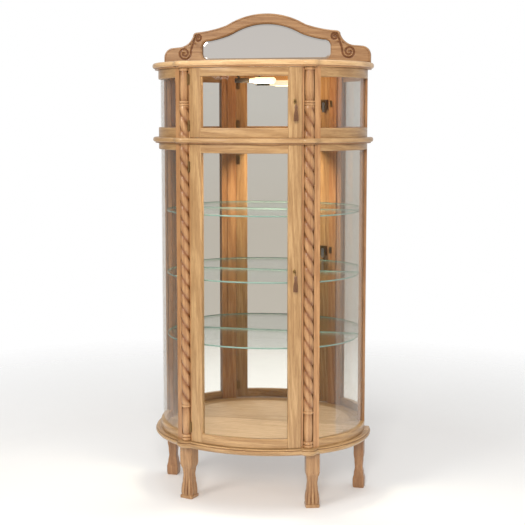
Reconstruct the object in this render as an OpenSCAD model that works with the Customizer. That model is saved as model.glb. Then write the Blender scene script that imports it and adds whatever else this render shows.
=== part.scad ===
// Bow-front curio cabinet on carved legs: a short upper case and a tall lower case,
// each with a curved glass door, curved glass sides, a mirror back and rope columns.
// Millimetres, +Z up, the front faces -Y. The origin is on the floor, under the middle
// of the cabinet's bounding box.

/* [Case] */
// Height from the floor to the top of the pediment
overall_h = 2000; // [1900:10:2100]
// Depth from the front of the mouldings to the back panel
overall_d = 454; // [450:1:460]
// Radius of the front faces of the doors
front_r = 553.5; // [540:0.5:570]
// Distance from the mirrors to the middle of the door faces
door_bulge = 430.7; // [428:0.1:432]
// Radius of the curved sides
side_r = 354.4; // [350:0.1:358]
// Distance of the side curves' centres from the middle plane
side_cx = 81.4; // [78:0.1:84]
// Distance of the side curves' centres in front of the mirrors
side_dy = 63.8; // [60:0.1:68]
// Thickness of the back panel
back_t = 6; // [4:1:8]

/* [Levels] */
// Height of the underside of the base moulding
base_z = 232; // [225:1:240]
// Top of the base moulding, where the lower case starts
lower_z = 258.6; // [256:0.1:262]
// Underside of the middle moulding
mid_z = 1463; // [1450:1:1480]
// Top of the middle moulding, where the upper case starts
upper_z = 1487; // [1485:1:1500]
// Underside of the crown moulding
crown_z = 1762; // [1750:1:1770]
// Top of the crown moulding
crown_top_z = 1788; // [1784:1:1796]

/* [Columns] */
// Distance of the columns from the middle plane
column_x = 251.2; // [250:0.1:253]
// Distance of the columns in front of the mirrors
column_dy = 364.9; // [364:0.1:367]
// Radius of the columns' rope stretch
rope_r = 20; // [18:0.5:20.5]
// Angle of a front leg about its own axis
leg_turn = 17; // [0:1:30]

/* [Doors] */
// Thickness of the door frames
door_t = 20; // [20:1:22]
// Half the angle that a door spans, seen from the centre of its curve
door_a = 24.04; // [24:0.01:24.08]
// Angle that one door stile spans
stile_a = 5.6; // [5:0.1:6]
// Height of a door's top rail
top_rail_h = 33; // [28:1:40]
// Height of a door's bottom rail
bottom_rail_h = 38; // [34:1:44]
// Gap round a door
door_gap = 2.6; // [2.4:0.1:3]
// Angle of the locks from the middle plane
lock_a = 21; // [20.8:0.1:21.2]
// Height of the lower door's keyhole
lower_key_z = 968; // [900:1:1000]
// Height of the upper door's keyhole
upper_key_z = 1628; // [1600:1:1640]
// Height of a hinge
hinge_h = 40; // [30:1:50]

/* [Glass] */
// Thickness of the curved panes and the mirrors
glass_t = 4; // [3:0.5:5]
// Thickness of a glass shelf
shelf_t = 6; // [5:0.5:8]
// Height of the lowest shelf's underside
shelf_z = 655; // [600:1:700]
// Distance from one shelf to the next
shelf_step = 262; // [240:1:280]

/* [Pediment] */
// Half the pediment's width
pediment_hw = 443; // [430:1:446]
// Thickness of the pediment board
pediment_t = 18; // [15:1:22]
// Width of the arched rail over the pediment's opening
arch_w = 43; // [35:1:50]

/* [Hidden] */
$fn = 128;

oak = [0.80, 0.62, 0.43];
oak_dark = [0.68, 0.49, 0.32];
clear = [0.75, 0.88, 0.82, 0.35];
silver = [0.82, 0.84, 0.85];
brass = [0.80, 0.66, 0.35];

// Places worked out from the driving sizes
back_y = overall_d / 2;
mirror_y = back_y - back_t;
front_cy = mirror_y - door_bulge + front_r;
side_cy = mirror_y - side_dy;
column_y = mirror_y - column_dy;
far = 900;

// Mouldings: how far they reach past the door faces, the sides and the columns
reach_front = mirror_y - door_bulge + back_y;
reach_side = 24.8;
side_shift = 19.4;
ring_r = 42;
rebate = 8;
floor_t = 12;
frame_w = 46;
base_frame_w = 90;

// Posts and side rails
post_t = 28;
post_back = 8;
post_a = door_a + door_gap / front_r * 180 / PI;
post_side_a = 36.5;
rear_post_x = 406;
rear_post_w = 42;
side_rail_t = 22;
side_glass_in = 9;
upper_rail_h = 40;
upper_top_rail_h = 38;
lower_rail_h = 34;
lower_top_rail_h = 26;
groove = 6;

// Doors
door_glass_in = 8;
tenon_a = 1.3;
lower_door_z = [lower_z + 2, mid_z - 2];
upper_door_z = [upper_z + 2, crown_z - 2];
lower_hinge_z = [lower_door_z[0] + 58, lower_door_z[1] - 88];
upper_hinge_z = [upper_door_z[0] + 45, upper_door_z[1] - 45];

// Hinges
pin_out = 4.2;
pin_r = 1.5;
knuckle_r = 3.4;
leaf_t = 1;
arm_out = 2.2;

// Locks: the key's bit swings in a pocket, and a cam on its far end swings behind the post
lock_w = 34;
lock_h = 44;
lock_front = 12;
lock_back = 30;
bit_in = 18;
bit_r = 8;
cam_in = 30.8;
cam_t = 2;
cam_reach = 33;
tang = 3.2;
keeper_a = lock_a + 4.25;

function arc_points(cx, cy, r, a0, a1, n = 12) =
  [for (i = [0:n]) let (a = a0 + (a1 - a0) * i / n) [cx + r * cos(a), cy + r * sin(a)]];

// ---- Plan shapes -------------------------------------------------------------

// A pie slice about (cx, cy); angles are measured from -Y towards +X
module slice(cx, cy, a0, a1) {
  am = (a0 + a1) / 2;
  polygon([
    [cx, cy],
    [cx + far * sin(a0), cy - far * cos(a0)],
    [cx + far * sin(am), cy - far * cos(am)],
    [cx + far * sin(a1), cy - far * cos(a1)]
  ]);
}

// Part of the curved front wall, between two depths behind the door faces
module front_band(d_out, d_in, a0, a1) {
  intersection() {
    difference() {
      translate([0, front_cy]) circle(r = front_r - d_out);
      translate([0, front_cy]) circle(r = front_r - d_in);
    }
    slice(0, front_cy, a0, a1);
  }
}

// Part of the right side wall, between two depths behind its outer face
module side_band(d_out, d_in) {
  difference() {
    translate([side_cx, side_cy]) circle(r = side_r - d_out);
    translate([side_cx, side_cy]) circle(r = side_r - d_in);
  }
}

// The D-shaped outline of the whole case; a reach is how far it stands out
module plan(front, side, shift, rear = back_y) {
  intersection() {
    translate([0, front_cy]) circle(r = front_r + front);
    translate([-column_x - 1, rear - far]) square([2 * column_x + 2, far]);
  }
  for (s = [-1, 1]) {
    intersection() {
      translate([s * (side_cx + shift), side_cy]) circle(r = side_r + side - shift);
      translate([s > 0 ? column_x : -column_x - far, rear - far]) square([far, far]);
    }
  }
}

// The D-shaped outline a given width inside the case, in front of the mirrors too
module inner_plan(w) {
  plan(-w, -w, 0, mirror_y - w);
}

// The case outline with a round ring about each column
module moulding_plan(inset) {
  plan(reach_front - inset, reach_side - inset, side_shift);
  for (s = [-1, 1]) translate([s * column_x, column_y]) circle(r = ring_r - inset);
}

// Mirrors its children to the left when side is -1
module on_side(side) {
  if (side > 0) children();
  else mirror([1, 0, 0]) children();
}

// A frame on the door curve at an angle and height: -Y points out of the door
module on_curve(a, d, z) {
  translate([0, front_cy, z]) rotate([0, 0, a]) translate([0, d - front_r, 0]) children();
}

// Stretches its plan from one height to another
module between(z0, z1) {
  translate([0, 0, z0]) linear_extrude(height = z1 - z0) children();
}

// ---- Base and legs -----------------------------------------------------------

// Half outline of a front leg: square block, waist, carved foot and plinth
function front_leg_profile() = concat(
  [[0, base_z], [28, base_z], [28, 142]],
  [for (i = [1:6]) [24.2 + 3.8 * cos(i * 30), 142 - i * 6]],
  [for (i = [1:8]) [24.2 - 3.8 * cos(i * 22.5), 106 - i * 8.5]],
  [[28, 16], [27, 14], [28.5, 12], [28.5, 0], [0, 0]]
);

// Half outline of a rear leg: plainer and slimmer, on a swelling foot
function rear_leg_profile() = concat(
  [[0, base_z], [21.5, base_z], [21.5, 150]],
  [for (i = [1:6]) [19 + 2.5 * cos(i * 30), 150 - i * 10.5]],
  [for (i = [1:8]) [21 - 4.5 * cos(i * 22.5), 87 - i * 9]],
  [[24, 3], [23, 0], [0, 0]]
);

// A leg sawn to the same outline on all four faces
module sawn_leg(profile) {
  half = 40;
  intersection() {
    for_face(profile, half);
    rotate([0, 0, 90]) for_face(profile, half);
  }
}

module for_face(profile, half) {
  flipped = [for (i = [len(profile) - 2:-1:1]) [-profile[i][0], profile[i][1]]];
  translate([0, half, 0]) rotate([90, 0, 0])
    linear_extrude(height = 2 * half) polygon(concat(profile, flipped));
}

front_leg_at = [258, column_y + 58];
rear_leg_at = [412, mirror_y - 24];
bolt_hole_r = 4;

module front_leg(side) {
  color(oak) difference() {
    translate([side * front_leg_at[0], front_leg_at[1], 0])
      rotate([0, 0, side * leg_turn]) sawn_leg(front_leg_profile());
    leg_bolt(side * front_leg_at[0], front_leg_at[1]);
  }
}

module rear_leg(side) {
  color(oak_dark) difference() {
    translate([side * rear_leg_at[0], rear_leg_at[1], 0]) sawn_leg(rear_leg_profile());
    leg_bolt(side * rear_leg_at[0], rear_leg_at[1]);
  }
}

// A bolt that hangs a leg on the base frame
module leg_bolt(x, y) {
  translate([x, y, base_z - 42]) cylinder(r = bolt_hole_r, h = 42 + 16);
}

module leg_bolts() {
  color(silver) for (s = [-1, 1]) {
    leg_bolt(s * front_leg_at[0], front_leg_at[1]);
    leg_bolt(s * rear_leg_at[0], rear_leg_at[1]);
  }
}

// A moulding's stack of three steps: foot, round nose and cap
module moulding_stack(z0, z1) {
  t = z1 - z0;
  between(z0, z0 + 0.25 * t) moulding_plan(7);
  between(z0 + 0.25 * t, z0 + 0.78 * t) moulding_plan(0);
  between(z0 + 0.78 * t, z1) moulding_plan(5);
}

module base_moulding() {
  color(oak) difference() {
    moulding_stack(base_z, lower_z);
    between(base_z - 1, lower_z + 1) inner_plan(base_frame_w);
    between(lower_z - floor_t, lower_z + 1) inner_plan(base_frame_w - rebate);
    for (s = [-1, 1]) {
      leg_bolt(s * front_leg_at[0], front_leg_at[1]);
      leg_bolt(s * rear_leg_at[0], rear_leg_at[1]);
    }
  }
}

module floor_panel() {
  color(oak) between(lower_z - floor_t, lower_z) inner_plan(base_frame_w - rebate);
}

// ---- Posts, columns and side rails ----------------------------------------------

// Plan of the right front post: it wraps the back of the column
module front_post_plan() {
  difference() {
    union() {
      intersection() {
        front_band(post_back, post_t, post_a, 40);
        translate([0, -far]) square([column_x + 0.5, 2 * far]);
      }
      intersection() {
        side_band(0, post_t);
        slice(side_cx, side_cy, 0, post_side_a);
        translate([column_x, -far]) square([far, 2 * far]);
      }
    }
    translate([column_x, column_y]) circle(r = rope_r + 0.6);
  }
}

module rear_post_plan() {
  intersection() {
    plan(0, 0, 0, mirror_y);
    translate([rear_post_x, mirror_y - rear_post_w]) square([far, rear_post_w]);
  }
}

// Plan of the right side pane, with its edges in the grooves of the two posts
module side_pane_plan() {
  intersection() {
    side_band(side_glass_in, side_glass_in + glass_t);
    slice(side_cx, side_cy, post_side_a - 1, 130);
    translate([0, mirror_y - rear_post_w + groove - far]) square([far, far]);
  }
}

module side_grooves() {
  between(lower_z, mid_z) side_pane_plan();
  between(upper_z, crown_z) side_pane_plan();
}

module front_post(side) {
  color(oak) on_side(side) difference() {
    between(lower_z, crown_z) front_post_plan();
    side_grooves();
    shelf_pin_set(1, 0);
    if (side > 0) for (z = [lower_key_z, upper_key_z]) keeper(z);
  }
}

module rear_post(side) {
  color(oak_dark) on_side(side) difference() {
    between(lower_z, crown_z) rear_post_plan();
    side_grooves();
    shelf_pin_set(0, 1);
  }
}

// A column turned with rings and a plain vase, and a stretch that is carved as a rope
module column(side, rope, plain, rings) {
  color(oak) translate([side * column_x, column_y, 0]) {
    between(rope[0], rope[1]) circle(r = rope_r);
    between(plain[0], plain[1]) circle(r = rope_r - 2);
    for (z = rings) between(z[0], z[1]) circle(r = rope_r + 0.4);
  }
}

module lower_column(side) {
  column(side, [409, mid_z], [286, 396], [[lower_z, 286], [396, 409]]);
}

module upper_column(side) {
  column(side, [upper_z, 1613], [1633, 1748], [[1613, 1633], [1748, crown_z]]);
}

// A curved rail of the right side wall, between the posts
module side_rail(z0, z1) {
  between(z0, z1) intersection() {
    side_band(0, side_rail_t);
    slice(side_cx, side_cy, post_side_a, 130);
    translate([0, mirror_y - rear_post_w - far]) square([far, far]);
  }
}

module lower_side_rails() {
  color(oak) for (s = [-1, 1]) on_side(s) difference() {
    union() {
      side_rail(lower_z, lower_z + lower_rail_h);
      side_rail(mid_z - lower_top_rail_h, mid_z);
    }
    side_pane([lower_z + lower_rail_h - groove, mid_z - lower_top_rail_h + groove]);
  }
}

module upper_side_rails() {
  color(oak) for (s = [-1, 1]) on_side(s) difference() {
    union() {
      side_rail(upper_z, upper_z + upper_rail_h);
      side_rail(crown_z - upper_top_rail_h, crown_z);
    }
    side_pane([upper_z + upper_rail_h - groove, crown_z - upper_top_rail_h + groove]);
  }
}

// A curved pane held in the grooves of its rails and posts
module side_pane(z) {
  between(z[0], z[1]) side_pane_plan();
}

module lower_side_glass(side) {
  color(clear) on_side(side)
    side_pane([lower_z + lower_rail_h - groove, mid_z - lower_top_rail_h + groove]);
}

module upper_side_glass(side) {
  color(clear) on_side(side)
    side_pane([upper_z + upper_rail_h - groove, crown_z - upper_top_rail_h + groove]);
}

// ---- Back --------------------------------------------------------------------

module mirror_sheet(z0, z1) {
  color(silver) translate([-rear_post_x, mirror_y - glass_t, z0])
    cube([2 * rear_post_x, glass_t, z1 - z0]);
}

module lower_mirror() {
  mirror_sheet(lower_z, mid_z);
}

module upper_mirror() {
  mirror_sheet(upper_z, crown_z);
}

module back_panel() {
  color(oak_dark) translate([-rear_post_x - 20, mirror_y, lower_z])
    cube([2 * rear_post_x + 40, back_t, crown_z - lower_z]);
}

// ---- Doors -------------------------------------------------------------------

module door_pane(z) {
  g = groove / front_r * 180 / PI;
  a = door_a - stile_a + g;
  between(z[0] + bottom_rail_h - groove, z[1] - top_rail_h + groove)
    front_band(door_glass_in, door_glass_in + glass_t, -a, a);
}

// The two rails' tenons, as they stand in the stiles
module rail_tenon(z, side) {
  a = door_a - stile_a;
  a0 = side > 0 ? a - 0.01 : -a - tenon_a;
  a1 = side > 0 ? a + tenon_a : -a + 0.01;
  between(z[0] + 7, z[1] - 7) front_band(13, 18, a0, a1);
}

function bottom_rail_z(z) = [z[0], z[0] + bottom_rail_h];
function top_rail_z(z) = [z[1] - top_rail_h, z[1]];

module stile(z, side) {
  a0 = side > 0 ? door_a - stile_a : -door_a;
  difference() {
    between(z[0], z[1]) front_band(0, door_t, a0, a0 + stile_a);
    door_pane(z);
    rail_tenon(bottom_rail_z(z), side);
    rail_tenon(top_rail_z(z), side);
  }
}

module hinge_stile(z) {
  color(oak) stile(z, -1);
}

module lock_stile(z, key_z) {
  color(oak) difference() {
    stile(z, 1);
    lock_case(key_z);
    key_hole(key_z);
    escutcheon_plate(key_z);
  }
}

module door_rail(z, span) {
  a = door_a - stile_a;
  color(oak) difference() {
    union() {
      between(span[0], span[1]) front_band(0, door_t, -a, a);
      rail_tenon(span, -1);
      rail_tenon(span, 1);
    }
    door_pane(z);
  }
}

module door_glass(z) {
  color(clear) door_pane(z);
}

// ---- Hinges ------------------------------------------------------------------

pin_a = -(door_a + post_a) / 2;
third = hinge_h / 3;

// The hinge knuckles: two belong to the post and the middle one to the door
module knuckle(z0, z1) {
  on_curve(pin_a, -pin_out, 0) difference() {
    between(z0, z1) circle(r = knuckle_r);
    between(z0 - 1, z1 + 1) circle(r = pin_r + 0.05);
  }
}

// A leaf on a post: a plate beside the door's edge, with an arm to each outer knuckle
module post_leaf(z) {
  knuckle_h = third - 0.3;
  for (low = [z - hinge_h / 2, z + hinge_h / 2 - knuckle_h]) {
    knuckle(low, low + knuckle_h);
    on_curve(-post_a, 0, low)
      translate([0, -arm_out, 0]) cube([leaf_t, arm_out + post_back + 1, knuckle_h]);
  }
  on_curve(-post_a, 0, z - hinge_h / 2)
    translate([0, post_back, 0]) cube([leaf_t, post_t - post_back, hinge_h]);
}

// A leaf on a door: a plate on the door's edge and back, with an arm to the middle knuckle
module door_leaf(z) {
  knuckle(z - third / 2, z + third / 2);
  on_curve(-door_a, 0, z - hinge_h / 2) {
    translate([-leaf_t, 1, 0]) cube([leaf_t, door_t + 0.4, hinge_h]);
    translate([-leaf_t, -arm_out, third]) cube([leaf_t, arm_out + 2, third]);
    translate([-leaf_t, door_t + 0.4, 0]) cube([18, leaf_t, hinge_h]);
  }
}

module hinge_post_leaves() {
  color(brass) for (z = concat(lower_hinge_z, upper_hinge_z)) post_leaf(z);
}

module hinge_leaves(heights) {
  color(brass) for (z = heights) door_leaf(z);
}

module hinge_pins() {
  color(brass) for (z = concat(lower_hinge_z, upper_hinge_z))
    on_curve(pin_a, -pin_out, 0) {
      between(z - hinge_h / 2 - 0.5, z + hinge_h / 2) circle(r = pin_r);
      between(z + hinge_h / 2 + 0.1, z + hinge_h / 2 + 2.5) circle(r = knuckle_r - 0.4);
      between(z + hinge_h / 2 - 0.5, z + hinge_h / 2 + 0.5) circle(r = pin_r);
    }
}

// ---- Locks and keys ----------------------------------------------------------

// The lock case, let into the back of the stile
module lock_case(z) {
  w = lock_w / 2 / front_r * 180 / PI;
  between(z - 26, z - 26 + lock_h) front_band(lock_front, lock_back, lock_a - w, lock_a + w);
}

// Round hole for the key's shank with a slot below it for the bit
module key_hole(z) {
  on_curve(lock_a, 0, z) {
    translate([0, lock_back, 0]) rotate([90, 0, 0]) cylinder(r = 3.2, h = lock_back + 3);
    translate([-1.6, -3, -9]) cube([3.2, 3 + bit_in, 9]);
  }
}

module lock_body(z) {
  color(brass) difference() {
    lock_case(z);
    on_curve(lock_a, bit_in, z) {
      translate([0, 2.4, 0]) rotate([90, 0, 0]) cylinder(r = bit_r + 1.2, h = 4.8);
      translate([0, 20, 0]) rotate([90, 0, 0]) cylinder(r = 3.2, h = 40);
      translate([-1.6, -20, -9]) cube([3.2, 20, 9]);
    }
  }
}

// A cam on the square end of the key: it hangs down when unlocked, and the key swings it sideways
module lock_cam(z) {
  color(silver) on_curve(lock_a, cam_in + cam_t, z) rotate([90, 0, 0]) difference() {
    hull() {
      cylinder(r = 6.5, h = cam_t);
      translate([0, -cam_reach, 0]) cylinder(r = 5.5, h = cam_t);
    }
    translate([-tang / 2, -tang / 2, -1]) cube([tang, tang, cam_t + 2]);
  }
}

// An oval brass plate let flush into the stile
module escutcheon_plate(z) {
  on_curve(lock_a, 0, z) for (h = [-5, 5])
    translate([0, 1.4, h]) rotate([90, 0, 0]) cylinder(r = 5, h = 2);
  on_curve(lock_a, 0, z) translate([-5, -0.6, -5]) cube([10, 2, 10]);
}

module escutcheon(z) {
  color(brass) difference() {
    escutcheon_plate(z);
    key_hole(z);
  }
}

bow_r = 9;
bow_out = 24;

// A key with a ring bow, its bit hanging down into the lock
module key(z) {
  color(brass) on_curve(lock_a, 0, z) {
    translate([0, cam_in, 0]) rotate([90, 0, 0])
      cylinder(r = 2.5, h = cam_in + bow_out - bow_r + 2);
    translate([-tang / 2, cam_in - 1, -tang / 2]) cube([tang, 1 + cam_t, tang]);
    translate([-1.1, bit_in - 2, -bit_r]) cube([2.2, 3.6, bit_r - 1]);
    translate([-1.4, -bow_out, 0]) rotate([0, 90, 0]) difference() {
      cylinder(r = bow_r, h = 2.8);
      translate([0, 0, -1]) cylinder(r = bow_r - 3, h = 5);
    }
  }
}

// Outline of a tassel below the key: knot, neck and skirt of threads
tassel_profile = [[0, -9.5], [2, -9.5], [2, -14], [5.5, -17], [6, -24], [4.6, -28], [7.5, -36],
  [9, -50], [8, -76], [0, -76]];
tassel_out = bow_out + bow_r - 1.5;

module tassel(z) {
  color([0.55, 0.38, 0.24]) on_curve(lock_a, -tassel_out, z)
    rotate_extrude() polygon(tassel_profile);
}

// A plate let into the back of the post, where the cam bears
module keeper(z) {
  on_curve(keeper_a, post_t, z) translate([-7, -0.6, -15]) cube([14, 1.4, 30]);
}

module strike_plates() {
  color(brass) for (z = [lower_key_z, upper_key_z]) keeper(z);
}

// ---- Shelves and deck --------------------------------------------------------

// A glass shelf, relieved round the inner corner of each front post
module shelf(n) {
  z = shelf_z + n * shelf_step;
  color(clear) between(z, z + shelf_t) difference() {
    plan(-post_t - 2, -post_t - 2, 0, mirror_y - glass_t - 1);
    for (s = [-1, 1]) translate([s * column_x, column_y]) circle(r = column_relief);
  }
}

pin_hole = 9;
shelf_pin_r = 2.5;
column_relief = 30;

// The right-hand pins under each shelf: front ones in the post, rear ones in the rear post
module shelf_pin_set(with_front, with_rear) {
  for (n = [0:2]) {
    z = shelf_z + n * shelf_step - shelf_pin_r;
    if (with_front) translate([side_cx, side_cy, z]) rotate([0, 0, 34.5])
      translate([0, -side_r + post_t - pin_hole, 0]) rotate([-90, 0, 0])
        cylinder(r = shelf_pin_r, h = pin_hole + 10);
    if (with_rear) translate([rear_post_x - 10, mirror_y - 22, z]) rotate([0, 90, 0])
      cylinder(r = shelf_pin_r, h = pin_hole + 10);
  }
}

module shelf_pins() {
  color(silver) for (s = [-1, 1]) on_side(s) shelf_pin_set(1, 1);
}

// The frame between the two cases: posts pass through it and a pane fills it
module mid_moulding() {
  color(oak) difference() {
    intersection() {
      moulding_stack(mid_z, upper_z);
      between(mid_z - 1, upper_z + 1) translate([-far, mirror_y - 2 * far]) square(2 * far);
    }
    between(mid_z - 1, upper_z + 1) inner_plan(frame_w);
    deck_pane();
    between(mid_z - 1, upper_z + 1) for (s = [-1, 1]) on_side(s) {
      front_post_plan();
      rear_post_plan();
    }
  }
}

module deck_pane() {
  between(upper_z - shelf_t, upper_z) inner_plan(frame_w - rebate);
}

module deck_glass() {
  color(clear) deck_pane();
}

// ---- Crown, pediment and lamp ------------------------------------------------

lamp_at = [-56, mirror_y - 200, crown_z - 46];

module crown_moulding() {
  color(oak) difference() {
    moulding_stack(crown_z, crown_top_z);
    translate([lamp_at[0], lamp_at[1], crown_z - 1]) cylinder(r = 4, h = 40);
  }
}

// Curves of the pediment: a crown arch between two sweeping wings and round shoulders
arch_r = 329;
arch_cz = overall_h - arch_r;
wing_r = 515;
wing_at = [341, overall_h + 439];
shoulder_r = 40;

function pediment_half() = concat(
  [[pediment_hw, crown_top_z]],
  arc_points(pediment_hw - shoulder_r, overall_h - 178, shoulder_r, 0, 90, 8),
  arc_points(382, overall_h - 64, 72, 270, 200, 8),
  arc_points(298, overall_h - 92, 18, 20, 95, 5),
  arc_points(wing_at[0], wing_at[1], wing_r, 264.3, 248.7, 6),
  arc_points(0, arch_cz, arch_r, 62.2, 88, 8)
);

function opening_half(grow) = concat(
  arc_points(246, overall_h - 162, 29 + grow, 270, 360, 6),
  arc_points(246, overall_h - 139, 29 + grow, 1, 84, 6),
  arc_points(wing_at[0], wing_at[1], wing_r + arch_w - grow, 259.8, 250.3, 5),
  arc_points(0, arch_cz, arch_r - arch_w + grow, 58.6, 88, 8)
);

// Joins a right-hand outline to its mirror image; no point lies on the middle line
function mirrored(half) =
  concat(half, [for (i = [len(half) - 1:-1:0]) [-half[i][0], half[i][1]]]);

// An upright board with its outline in X and Z
module upright(y0, y1, half) {
  translate([0, y1, 0]) rotate([90, 0, 0])
    linear_extrude(height = y1 - y0) polygon(mirrored(half));
}

module pediment_board() {
  front = back_y - pediment_t;
  color(oak) difference() {
    upright(front, back_y, pediment_half());
    upright(front - 1, back_y + 1, opening_half(0));
    upright(back_y - 7, back_y + 1, opening_half(6));
  }
}

module pediment_mirror() {
  color(silver) upright(back_y - 7, back_y - 3, opening_half(6));
}

// A socket under the crown that holds a long display bulb level
module lamp_socket() {
  color([0.15, 0.14, 0.13]) {
    difference() {
      translate([lamp_at[0] - 24, lamp_at[1] - 12, crown_z - 4]) cube([48, 24, 4]);
      translate([lamp_at[0], lamp_at[1], crown_z - 10]) cylinder(r = 4, h = 20);
    }
    translate([lamp_at[0] - 20, lamp_at[1] - 3, lamp_at[2]]) cube([10, 6, crown_z - lamp_at[2] - 4]);
    translate([lamp_at[0] - 30, lamp_at[1], lamp_at[2]]) rotate([0, 90, 0]) cylinder(r = 10, h = 62);
  }
}

module lamp_bulb() {
  color([1, 0.9, 0.6]) translate([lamp_at[0] + 32, lamp_at[1], lamp_at[2]]) rotate([0, 90, 0]) {
    cylinder(r = 8, h = 10);
    translate([0, 0, 10]) cylinder(r = 12.5, h = 86);
    translate([0, 0, 96]) sphere(r = 12.5);
  }
}

front_leg(-1);  // front_left_leg
front_leg(1);  // front_right_leg
rear_leg(-1);  // rear_left_leg
rear_leg(1);  // rear_right_leg
leg_bolts();
base_moulding();
floor_panel();
front_post(-1);  // left_front_post
front_post(1);  // right_front_post
rear_post(-1);  // left_rear_post
rear_post(1);  // right_rear_post
lower_column(-1);  // lower_left_column
lower_column(1);  // lower_right_column
upper_column(-1);  // upper_left_column
upper_column(1);  // upper_right_column
lower_side_rails();
upper_side_rails();
lower_side_glass(-1);  // lower_left_side_glass
lower_side_glass(1);  // lower_right_side_glass
upper_side_glass(-1);  // upper_left_side_glass
upper_side_glass(1);  // upper_right_side_glass
lower_mirror();
upper_mirror();
back_panel();
hinge_stile(lower_door_z);  // lower_door_hinge_stile
lock_stile(lower_door_z, lower_key_z);  // lower_door_lock_stile
door_rail(lower_door_z, top_rail_z(lower_door_z));  // lower_door_top_rail
door_rail(lower_door_z, bottom_rail_z(lower_door_z));  // lower_door_bottom_rail
door_glass(lower_door_z);  // lower_door_glass
hinge_stile(upper_door_z);  // upper_door_hinge_stile
lock_stile(upper_door_z, upper_key_z);  // upper_door_lock_stile
door_rail(upper_door_z, top_rail_z(upper_door_z));  // upper_door_top_rail
door_rail(upper_door_z, bottom_rail_z(upper_door_z));  // upper_door_bottom_rail
door_glass(upper_door_z);  // upper_door_glass
hinge_post_leaves();
hinge_leaves(lower_hinge_z);  // lower_door_hinge_leaves
hinge_leaves(upper_hinge_z);  // upper_door_hinge_leaves
hinge_pins();
lock_body(lower_key_z);  // lower_lock_body
lock_cam(lower_key_z);  // lower_lock_cam
escutcheon(lower_key_z);  // lower_escutcheon
key(lower_key_z);  // lower_key
tassel(lower_key_z);  // lower_tassel
lock_body(upper_key_z);  // upper_lock_body
lock_cam(upper_key_z);  // upper_lock_cam
escutcheon(upper_key_z);  // upper_escutcheon
key(upper_key_z);  // upper_key
tassel(upper_key_z);  // upper_tassel
strike_plates();
shelf(2);  // top_shelf
shelf(1);  // middle_shelf
shelf(0);  // bottom_shelf
shelf_pins();
mid_moulding();
deck_glass();
crown_moulding();
pediment_board();
pediment_mirror();
lamp_socket();
lamp_bulb();
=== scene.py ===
"""Bow-front curio cabinet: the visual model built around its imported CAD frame, in metres."""
import math
import random

import bmesh
import bpy
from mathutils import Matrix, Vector
from mathutils.geometry import delaunay_2d_cdt


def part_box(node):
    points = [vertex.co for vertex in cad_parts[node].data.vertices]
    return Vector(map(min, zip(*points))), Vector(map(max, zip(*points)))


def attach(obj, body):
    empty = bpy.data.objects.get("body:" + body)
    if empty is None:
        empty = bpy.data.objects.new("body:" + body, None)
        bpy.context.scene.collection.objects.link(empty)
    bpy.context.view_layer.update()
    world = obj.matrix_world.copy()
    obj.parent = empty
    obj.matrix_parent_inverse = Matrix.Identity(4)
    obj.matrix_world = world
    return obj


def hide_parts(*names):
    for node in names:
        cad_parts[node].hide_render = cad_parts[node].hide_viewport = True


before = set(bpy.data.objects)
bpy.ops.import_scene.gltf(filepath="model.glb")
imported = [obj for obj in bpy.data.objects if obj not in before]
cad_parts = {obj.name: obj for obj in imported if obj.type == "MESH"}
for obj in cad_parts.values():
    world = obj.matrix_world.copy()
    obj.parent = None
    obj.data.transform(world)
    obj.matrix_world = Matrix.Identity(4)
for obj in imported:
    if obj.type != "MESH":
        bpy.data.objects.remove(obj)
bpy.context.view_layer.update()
scene = bpy.context.scene

# ---- Driving sizes of the curves, and places taken from the frame ----------------------
FRONT_R = 0.5535
SIDE_R = 0.3544
SIDE_BEHIND_MIRROR = 0.0638
SIDE_SHIFT = 0.0194
RING_R = 0.042
DOOR_T = 0.020
STILE_A = math.radians(5.6)
PANE_IN = 0.008
SIDE_PANE_IN = 0.009
PANE_T = 0.004
GROOVE = 0.006

FRONT_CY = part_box("lower_door_bottom_rail")[0].y + FRONT_R
MIRROR_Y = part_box("back_panel")[0].y
BACK_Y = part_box("back_panel")[1].y
SIDE_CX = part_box("lower_side_rails")[1].x - SIDE_R
SIDE_CY = MIRROR_Y - SIDE_BEHIND_MIRROR
column_low, column_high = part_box("lower_right_column")
COLUMN_X = (column_low.x + column_high.x) / 2
COLUMN_Y = (column_low.y + column_high.y) / 2


def angle_at(x):
    """Angle on the door curve, from the middle line, of a face at distance x from it."""
    return math.asin(x / FRONT_R)


# The lock stile's outer front edge lies where the door curve reaches the stile's highest x
DOOR_A = angle_at(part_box("lower_door_lock_stile")[1].x)
LOCK_A = math.radians(21)


def on_front(a, d, z):
    """Point on the door curve: angle a from the middle line, depth d behind the door face."""
    r = FRONT_R - d
    return (r * math.sin(a), FRONT_CY - r * math.cos(a), z)


def on_side(a, d, z, side):
    """Point on a curved side: angle a round from the front, depth d behind its outer face."""
    r = SIDE_R - d
    return (side * (SIDE_CX + r * math.sin(a)), SIDE_CY - r * math.cos(a), z)


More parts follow.
